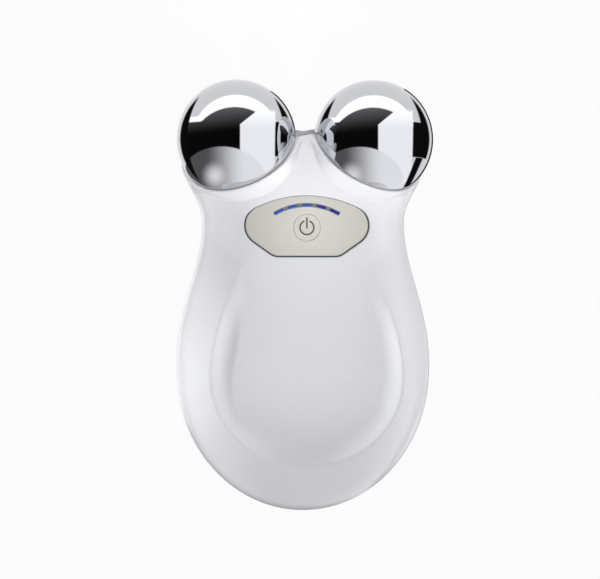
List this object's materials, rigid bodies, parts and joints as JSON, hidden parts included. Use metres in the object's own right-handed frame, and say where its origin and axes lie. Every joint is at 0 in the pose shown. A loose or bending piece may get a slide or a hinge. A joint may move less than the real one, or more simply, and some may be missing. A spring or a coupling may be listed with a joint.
{
  "type": "facial toning device",
  "caption": "Palm-sized facial toning device: an oval casing with a thumb rest and a power button, and mirror-bright ball electrodes in sockets at its head.",
  "frame": {"origin": "middle of the casing's footprint, on the plane it lies on, with the device on its back", "axes": "+Z out of the front face, where the control panel and thumb rest are; +Y from the tail to the ball electrodes; +X to the right as the front face is seen with the balls up"},
  "size_m": [0.056, 0.094, 0.0325],
  "materials": {
    "casing": "gloss",
    "panel": "satin",
    "symbol_ink": "matte",
    "gasket_rubber": "matte",
    "bezel": "satin",
    "blue_lens": "gloss",
    "led_package": "satin",
    "board": "satin",
    "black_plastic": "satin",
    "ferrite": "matte",
    "steel": "satin",
    "battery_foil": "satin",
    "foam": "matte",
    "red_wire": "satin",
    "black_wire": "satin",
    "blue_wire": "satin",
    "white_plastic": "satin",
    "chrome": "polished",
    "brass": "satin"
  },
  "bodies": {
    "device": {"front_shell": "casing", "rear_shell": "casing", "screw_plugs": "casing", "control_panel": "panel", "panel_gasket": "gasket_rubber", "indicator_bezel": "bezel", "indicator_lenses": "blue_lens", "indicator_leds": "led_package", "main_board": "board", "tact_switch": "black_plastic", "board_chips": "black_plastic", "pulse_transformer": "ferrite", "buzzer": "black_plastic", "board_screws": "steel", "battery": "battery_foil", "battery_pad": "foam", "battery_lead_red": "red_wire", "battery_lead_black": "black_wire", "battery_connector": "white_plastic", "charge_jack": "black_plastic", "charge_jack_pin": "steel", "charge_lead_red": "red_wire", "charge_lead_black": "black_wire", "left_electrode_ball": "chrome", "right_electrode_ball": "chrome", "electrode_seals": "gasket_rubber", "ring_terminals": "brass", "electrode_screws": "steel", "left_electrode_lead": "red_wire", "right_electrode_lead": "blue_wire", "shell_screws": "steel"},
    "button": {"power_button": "panel", "power_symbol": "symbol_ink", "switch_plunger": "black_plastic"}
  },
  "joints": [
    {"name": "button_press", "type": "slide", "parent": "device", "child": "button", "axis": [0, 0, -1], "range_m": [0, 0.0003], "stiffness_N_per_m": 5000}
  ]
}
